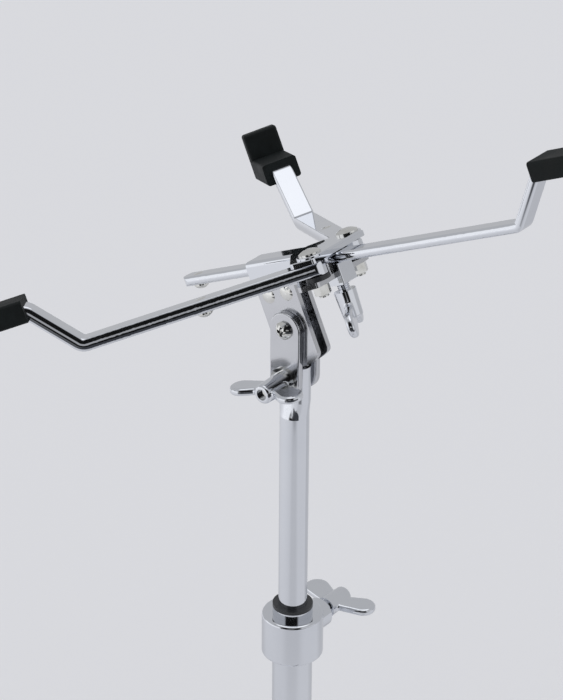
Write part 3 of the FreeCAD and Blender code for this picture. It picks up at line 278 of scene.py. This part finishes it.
skin = addNode(
    tree, "ShaderNodeBsdfPrincipled", {"IOR": absLook["ior"]},
    {"Base Color": colour.outputs[colourMixed], "Roughness": rough.outputs["Result"],
     "Normal": bump.outputs["Normal"]})
addNode(tree, "ShaderNodeOutputMaterial", None, {"Surface": skin.outputs["BSDF"]})

finishOf = {"chrome": chromePlate, "plated_steel": barrelNickel, "rubber": mouldedRubber,
            "nylon": turnedNylon, "black_plastic": mouldedAbs}
pressedNodes = ("front_strap", "rear_strap", "tilt_bracket")
for name, node in nodes.items():
    for slot in node.material_slots:
        slot.material = finishOf[slot.material.name.split(".")[0]]
        if name in pressedNodes:
            slot.material = tumbledChrome
print("finishes on", len(nodes), "CAD nodes")

# Screw threads on the shanks that show: a diamond ridge wound up from the origin, then set on a
# joint's axis. Lengths are in millimetres; along is the first turn's place on the axis, from the
# joint's point.
threads = {
    "basketBoltThread": {
        "body": "basket_knob", "slot": "chrome", "joint": "basket_wing_bolt_turn",
        "along": -8.0, "radius": 3.0, "pitch": 1.0, "turns": 3},
    "heightBoltThread": {
        "body": "height_knob", "slot": "chrome", "joint": "height_wing_bolt_turn",
        "along": -4.4, "radius": 4.0, "pitch": 1.25, "turns": 3},
    "collarBoltThread": {
        "body": "collar_knob", "slot": "chrome", "joint": "collar_wing_bolt_turn",
        "along": -4.4, "radius": 4.0, "pitch": 1.25, "turns": 3},
    "tiltScrewThread": {
        "body": "post", "slot": "plated_steel", "joint": "basket_tilt",
        "along": -14.6, "radius": 2.5, "pitch": 0.8, "turns": 1},
    "leftPivotThread": {
        "body": "basket", "slot": "plated_steel", "joint": "left_arm_swivel",
        "along": -18.7, "radius": 2.5, "pitch": 0.8, "turns": 1},
    "backPivotThread": {
        "body": "basket", "slot": "plated_steel", "joint": "back_arm_swivel",
        "along": -18.7, "radius": 2.5, "pitch": 0.8, "turns": 1},
}
ridgeCorners = 4
ridgeShare = 0.32  # half the ridge's height, of the pitch
stepsPerTurn = 36
for name, thread in threads.items():
    bpy.ops.object.select_all(action="DESELECT")
    bpy.ops.mesh.primitive_circle_add(
        vertices=ridgeCorners, radius=ridgeShare * thread["pitch"] * millimetre,
        location=(thread["radius"] * millimetre, 0, 0), rotation=(math.pi / 2, 0, 0))
    ridge = bpy.context.object
    ridge.name = name
    bpy.ops.object.transform_apply(location=True, rotation=True)
    bpy.ops.object.modifier_add(type="SCREW")
    wind = ridge.modifiers[-1]
    wind.screw_offset = thread["pitch"] * millimetre
    wind.iterations = thread["turns"]
    wind.steps = wind.render_steps = stepsPerTurn
    bpy.ops.object.modifier_apply(modifier=wind.name)
    bpy.ops.object.mode_set(mode="EDIT")
    bpy.ops.mesh.select_all(action="SELECT")
    bpy.ops.mesh.fill_holes(sides=0)
    bpy.ops.mesh.select_all(action="SELECT")
    bpy.ops.mesh.normals_make_consistent(inside=False)
    bpy.ops.object.mode_set(mode="OBJECT")
    axis = Vector(joints[thread["joint"]]["axis"])
    start = Vector(joints[thread["joint"]]["pos_m"]) + axis * thread["along"] * millimetre
    lean = Vector((0, 0, 1)).rotation_difference(axis).to_matrix().to_4x4()
    ridge.matrix_world = Matrix.Translation(start) @ lean
    bpy.ops.object.transform_apply(location=True, rotation=True)
    bpy.ops.object.shade_smooth_by_angle(angle=smoothAngle)
    ridge.data.materials.append(finishOf[thread["slot"]])
    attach(ridge, thread["body"])
print("threads cut:", len(threads))

# Grip bands moulded round the mouth of each rubber foot: a rounded slab with the foot's own
# hole through it, modelled once and copied to three places on each leg. Lengths are in
# millimetres; along is from the leg's hinge, and middle is the slab's lift off the leg's line.
bands = {
    "legs": ("rear", "left", "right"), "along": (292.0, 297.0, 302.0), "thick": 2.4,
    "wide": 20.1, "tall": 20.0, "middle": 0.95, "corner": 3.5, "cornerSteps": 6, "wall": 3.2,
    "soften": 0.7, "softenSteps": 3, "softenAngle": 60}
endFacing = 0.9  # least share of a face's normal along the leg
bpy.ops.object.select_all(action="DESELECT")
bpy.ops.mesh.primitive_cube_add(size=millimetre)
slab = bpy.context.object
slab.scale = (bands["thick"], bands["wide"], bands["tall"])
bpy.ops.object.transform_apply(scale=True)
bpy.ops.object.mode_set(mode="EDIT")
bpy.ops.mesh.select_mode(type="EDGE")
bpy.ops.mesh.select_all(action="DESELECT")
bpy.ops.object.mode_set(mode="OBJECT")
for edge in slab.data.edges:
    ends = [slab.data.vertices[i].co.x for i in edge.vertices]
    edge.select = abs(ends[0] - ends[1]) > millimetre
bpy.ops.object.mode_set(mode="EDIT")
bpy.ops.mesh.bevel(offset=bands["corner"] * millimetre, segments=bands["cornerSteps"])
bpy.ops.mesh.select_mode(type="FACE")
bpy.ops.mesh.select_all(action="DESELECT")
bpy.ops.object.mode_set(mode="OBJECT")
for side in slab.data.polygons:
    side.select = abs(side.normal.x) > endFacing
bpy.ops.object.mode_set(mode="EDIT")
bpy.ops.mesh.inset(thickness=bands["wall"] * millimetre)
bpy.ops.mesh.bridge_edge_loops()
bpy.ops.mesh.select_all(action="SELECT")
bpy.ops.mesh.normals_make_consistent(inside=False)
bpy.ops.object.mode_set(mode="OBJECT")
bpy.ops.object.modifier_add(type="BEVEL")
soft = slab.modifiers[-1]
soft.width = bands["soften"] * millimetre
soft.segments = bands["softenSteps"]
soft.limit_method = "ANGLE"
soft.angle_limit = math.radians(bands["softenAngle"])
bpy.ops.object.modifier_apply(modifier=soft.name)
bpy.ops.object.shade_smooth_by_angle(angle=smoothAngle)
slab.data.materials.append(mouldedRubber)
hingePoint = Vector(joints["leg_collar_fold"]["pos_m"])
for number, along in enumerate(bands["along"]):
    for leg in bands["legs"]:
        bpy.ops.object.select_all(action="DESELECT")
        band = slab.copy()
        band.data = slab.data.copy()
        bpy.context.collection.objects.link(band)
        band.select_set(True)
        bpy.context.view_layer.objects.active = band
        band.name = "%sFootBand%d" % (leg, number)
        brace = Vector(joints["leg_%s_fold" % leg]["pos_m"])
        outward = Vector((brace.x, brace.y, 0)).normalized()
        hinge = outward * hingePoint.xy.length + Vector((0, 0, hingePoint.z))
        run = (brace - hinge).normalized()
        across = Vector((0, 0, 1)).cross(outward)
        lift = run.cross(across)
        spot = hinge + (run * along + lift * bands["middle"]) * millimetre
        placed = Matrix((run, across, lift)).transposed().to_4x4()
        band.matrix_world = Matrix.Translation(spot) @ placed
        bpy.ops.object.transform_apply(location=True, rotation=True)
        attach(band, "leg_" + leg)
bpy.data.objects.remove(slab)
print("foot bands moulded:", len(bands["along"]) * len(bands["legs"]))

# Studio: a pale floor under a soft dome. What metal mirrors is set apart from that: a white
# ceiling, a softbox low on the left, and the dark room round the camera, which draws the black
# bands in chrome. Azimuths are from the camera, to the right positive, in degrees.
studio = {
    "cameraAzimuth": 37.95, "page": "DBDCDF", "dome": "FBFCFF", "domeLow": 0.56,
    "domeHigh": 1.04, "wall": 0.55}
panels = {
    "ceiling": {"azimuth": 0, "half": 180, "soft": 10, "low": 66, "high": 100, "fade": 8,
                "level": 1.25},
    "softbox": {"azimuth": -72, "half": 28, "soft": 14, "low": -60, "high": 9, "fade": 9,
                "level": 1.1},
    "cameraSide": {"azimuth": -6, "half": 30, "soft": 14, "low": -60, "high": 41, "fade": 12,
                   "level": 0.008},
    "strip": {"azimuth": -6, "half": 10, "soft": 5, "low": 2, "high": 8, "fade": 4,
              "level": 0.44},
    "rightCard": {"azimuth": 58, "half": 22, "soft": 12, "low": 4, "high": 14, "fade": 5,
                  "level": 0.8},
}
panelAngles = ("half", "soft", "fade", "low", "high")
turn = math.radians(studio["cameraAzimuth"])
towards = (math.sin(turn), -math.cos(turn), 0)
sideways = (math.cos(turn), math.sin(turn), 0)
world = bpy.data.worlds.new("studioRoom")
bpy.context.scene.world = world
world.use_nodes = True
tree = world.node_tree
tree.nodes.clear()
ray = addNode(tree, "ShaderNodeLightPath")
aim = addNode(tree, "ShaderNodeTexCoord").outputs["Generated"]
height = addNode(tree, "ShaderNodeSeparateXYZ", None, {"Vector": aim}).outputs["Z"]
near = addNode(
    tree, "ShaderNodeVectorMath", {"operation": "DOT_PRODUCT", 1: towards},
    {0: aim}).outputs["Value"]
right = addNode(
    tree, "ShaderNodeVectorMath", {"operation": "DOT_PRODUCT", 1: sideways},
    {0: aim}).outputs["Value"]
azimuth = addNode(
    tree, "ShaderNodeMath", {"operation": "ARCTAN2"}, {0: right, 1: near}).outputs["Value"]
rise = addNode(tree, "ShaderNodeMath", {"operation": "ARCSINE"}, {0: height}).outputs["Value"]
room = None
for panel in panels.values():
    half, soft, fade, low, high = (math.radians(panel[key]) for key in panelAngles)
    away = addNode(
        tree, "ShaderNodeMath",
        {"operation": "SUBTRACT", 1: math.radians(panel["azimuth"])}, {0: azimuth})
    away = addNode(
        tree, "ShaderNodeMath", {"operation": "WRAP", 1: math.pi, 2: -math.pi},
        {0: away.outputs["Value"]})
    away = addNode(
        tree, "ShaderNodeMath", {"operation": "ABSOLUTE"}, {0: away.outputs["Value"]})
    wide = addNode(
        tree, "ShaderNodeMapRange",
        {"interpolation_type": "SMOOTHSTEP", "From Min": half + soft, "From Max": half},
        {"Value": away.outputs["Value"]})
    above = addNode(
        tree, "ShaderNodeMapRange",
        {"interpolation_type": "SMOOTHSTEP", "From Min": low - fade, "From Max": low},
        {"Value": rise})
    below = addNode(
        tree, "ShaderNodeMapRange",
        {"interpolation_type": "SMOOTHSTEP", "From Min": high + fade, "From Max": high},
        {"Value": rise})
    tall = addNode(
        tree, "ShaderNodeMath", {"operation": "MULTIPLY"},
        {0: above.outputs["Result"], 1: below.outputs["Result"]})
    inside = addNode(
        tree, "ShaderNodeMath", {"operation": "MULTIPLY"},
        {0: tall.outputs["Value"], 1: wide.outputs["Result"]})
    mixed = addNode(
        tree, "ShaderNodeMix",
        {"data_type": "FLOAT", "A": studio["wall"], "B": panel["level"]},
        {"Factor": inside.outputs["Value"]})
    if room:
        tree.links.new(room, mixed.inputs["A"])
    room = mixed.outputs["Result"]
dome = addNode(
    tree, "ShaderNodeMapRange",
    {"To Min": studio["domeLow"], "To Max": studio["domeHigh"]}, {"Value": height})
strength = addNode(
    tree, "ShaderNodeMix", {"data_type": "FLOAT"},
    {"Factor": ray.outputs["Is Glossy Ray"], "A": dome.outputs["Result"], "B": room})
lit = addNode(
    tree, "ShaderNodeBackground", {"Color": linear(studio["dome"])},
    {"Strength": strength.outputs["Result"]})
page = addNode(
    tree, "ShaderNodeBackground", {"Color": linear(studio["page"]), "Strength": 1.0})
seen = addNode(
    tree, "ShaderNodeMixShader", None,
    {0: ray.outputs["Is Camera Ray"], 1: lit.outputs["Background"],
     2: page.outputs["Background"]})
addNode(tree, "ShaderNodeOutputWorld", None, {"Surface": seen.outputs["Shader"]})

# Matt floor sheet that fades out at its rim. In the mirrors it darkens towards the camera with
# painted shade, and carries a painted shadow in front of the stand, painted shade behind it and a
# painted glow on the left that stands in for the softbox's light. Lengths are in metres, but the
# drop below the soles is in mm.
sheet = {
    "radius": 3.0, "fade": 1.1, "sides": 96, "dropMm": 0.4, "colour": "E9E9EB", "dark": "45474B",
    "softbox": 0.42, "paintedGlowStart": -0.35, "paintedGlowFull": -2.0}
# painted shade that only the mirrors see: the dark room's shade towards the camera, a painted
# shadow in front of the stand and painted shade behind it; in metres towards the camera and to the
# right
paintedFloorShade = {
    "paintedRoomShade": {"near": (0.81, 9), "right": (-0.8, 9), "soft": 0.1, "share": 1.0},
    "paintedStandShadow": {"near": (0.45, 9), "right": (-0.12, 0.12), "soft": 0.25, "share": 0.14},
    "paintedShadeBehind": {"near": (-9, -0.3), "right": (-0.2, 9), "soft": 0.25, "share": 0.2},
}
floorPaint, tree = newMaterial("mattFloorSheet")
ray = addNode(tree, "ShaderNodeLightPath").outputs["Is Glossy Ray"]
place = addNode(tree, "ShaderNodeTexCoord").outputs["Object"]
reach = addNode(tree, "ShaderNodeVectorMath", {"operation": "LENGTH"}, {0: place})
rim = addNode(
    tree, "ShaderNodeMapRange",
    {"interpolation_type": "SMOOTHSTEP", "From Min": sheet["radius"] - sheet["fade"],
     "From Max": sheet["radius"]},
    {"Value": reach.outputs["Value"]})
near = addNode(
    tree, "ShaderNodeVectorMath", {"operation": "DOT_PRODUCT", 1: towards},
    {0: place}).outputs["Value"]
right = addNode(
    tree, "ShaderNodeVectorMath", {"operation": "DOT_PRODUCT", 1: sideways},
    {0: place}).outputs["Value"]
# painted shade: inside each mark the floor colour goes towards the dark tone, in glossy rays only
colour = None
for mark in paintedFloorShade.values():
    share = None
    for way, ends in ((near, mark["near"]), (right, mark["right"])):
        for end, slope in ((ends[0], -mark["soft"]), (ends[1], mark["soft"])):
            side = addNode(
                tree, "ShaderNodeMapRange",
                {"interpolation_type": "SMOOTHSTEP", "From Min": end + slope, "From Max": end},
                {"Value": way}).outputs["Result"]
            share = addNode(
                tree, "ShaderNodeMath", {"operation": "MULTIPLY", 1: mark["share"]},
                {0: side, **({1: share} if share else {})}).outputs["Value"]
    share = addNode(
        tree, "ShaderNodeMath", {"operation": "MULTIPLY"}, {0: share, 1: ray}).outputs["Value"]
    mixed = addNode(
        tree, "ShaderNodeMix",
        {"data_type": "RGBA", colourA: linear(sheet["colour"]), colourB: linear(sheet["dark"])},
        {0: share})
    if colour:
        tree.links.new(colour, mixed.inputs[colourA])
    colour = mixed.outputs[colourMixed]
# painted glow: in glossy rays the floor on the left emits light, a painted reflection of the
# softbox's light on the floor
paintedSoftboxGlow = addNode(
    tree, "ShaderNodeMapRange",
    {"From Min": sheet["paintedGlowStart"], "From Max": sheet["paintedGlowFull"],
     "To Max": sheet["softbox"]},
    {"Value": right})
paintedSoftboxGlow = addNode(
    tree, "ShaderNodeMath", {"operation": "MULTIPLY"}, {0: paintedSoftboxGlow.outputs["Result"], 1: ray})
paint = addNode(tree, "ShaderNodeBsdfDiffuse", None, {"Color": colour})
glow = addNode(tree, "ShaderNodeEmission", None, {"Strength": paintedSoftboxGlow.outputs["Value"]})
both = addNode(
    tree, "ShaderNodeAddShader", None,
    {0: paint.outputs["BSDF"], 1: glow.outputs["Emission"]})
clear = addNode(tree, "ShaderNodeBsdfTransparent")
faded = addNode(
    tree, "ShaderNodeMixShader", None,
    {0: rim.outputs["Result"], 1: both.outputs["Shader"], 2: clear.outputs["BSDF"]})
addNode(tree, "ShaderNodeOutputMaterial", None, {"Surface": faded.outputs["Shader"]})
bpy.ops.object.select_all(action="DESELECT")
bpy.ops.mesh.primitive_circle_add(
    vertices=sheet["sides"], radius=sheet["radius"], fill_type="NGON",
    location=(0, 0, -sheet["dropMm"] * millimetre))
floor = bpy.context.object
floor.name = "studioFloor"
bpy.ops.object.transform_apply(location=True)
floor.data.materials.append(floorPaint)
print("studio set")

# Camera fitted to the photograph: a long lens, looking down a little over 28 degrees. Lengths are
# in millimetres, but the end of what it sees is in metres.
view = {
    "elevation": 28.42, "roll": 0.44, "lens": 166.49, "sensor": 36, "distance": 1697.4,
    "aim": (0, 0, 475), "right": -7.34, "up": -13.79, "clipEnd": 50}
dip, roll = (math.radians(view[key]) for key in ("elevation", "roll"))
across = Vector(sideways)
back = Vector((math.sin(turn) * math.cos(dip), -math.cos(turn) * math.cos(dip), math.sin(dip)))
upward = back.cross(across)
rolledAcross = across * math.cos(roll) + upward * math.sin(roll)
rolledUp = upward * math.cos(roll) - across * math.sin(roll)
stand = (Vector(view["aim"]) + rolledAcross * view["right"] + rolledUp * view["up"]
         + back * view["distance"])
bpy.ops.object.camera_add()
camera = bpy.context.object
camera.name = "photoCamera"
camera.data.lens = view["lens"]
camera.data.sensor_width = view["sensor"]
camera.data.clip_end = view["clipEnd"]
turned = Matrix((rolledAcross, rolledUp, back)).transposed().to_4x4()
camera.matrix_world = Matrix.Translation(stand * millimetre) @ turned
bpy.context.scene.camera = camera
bpy.context.scene.view_settings.view_transform = "Standard"
print("camera placed")
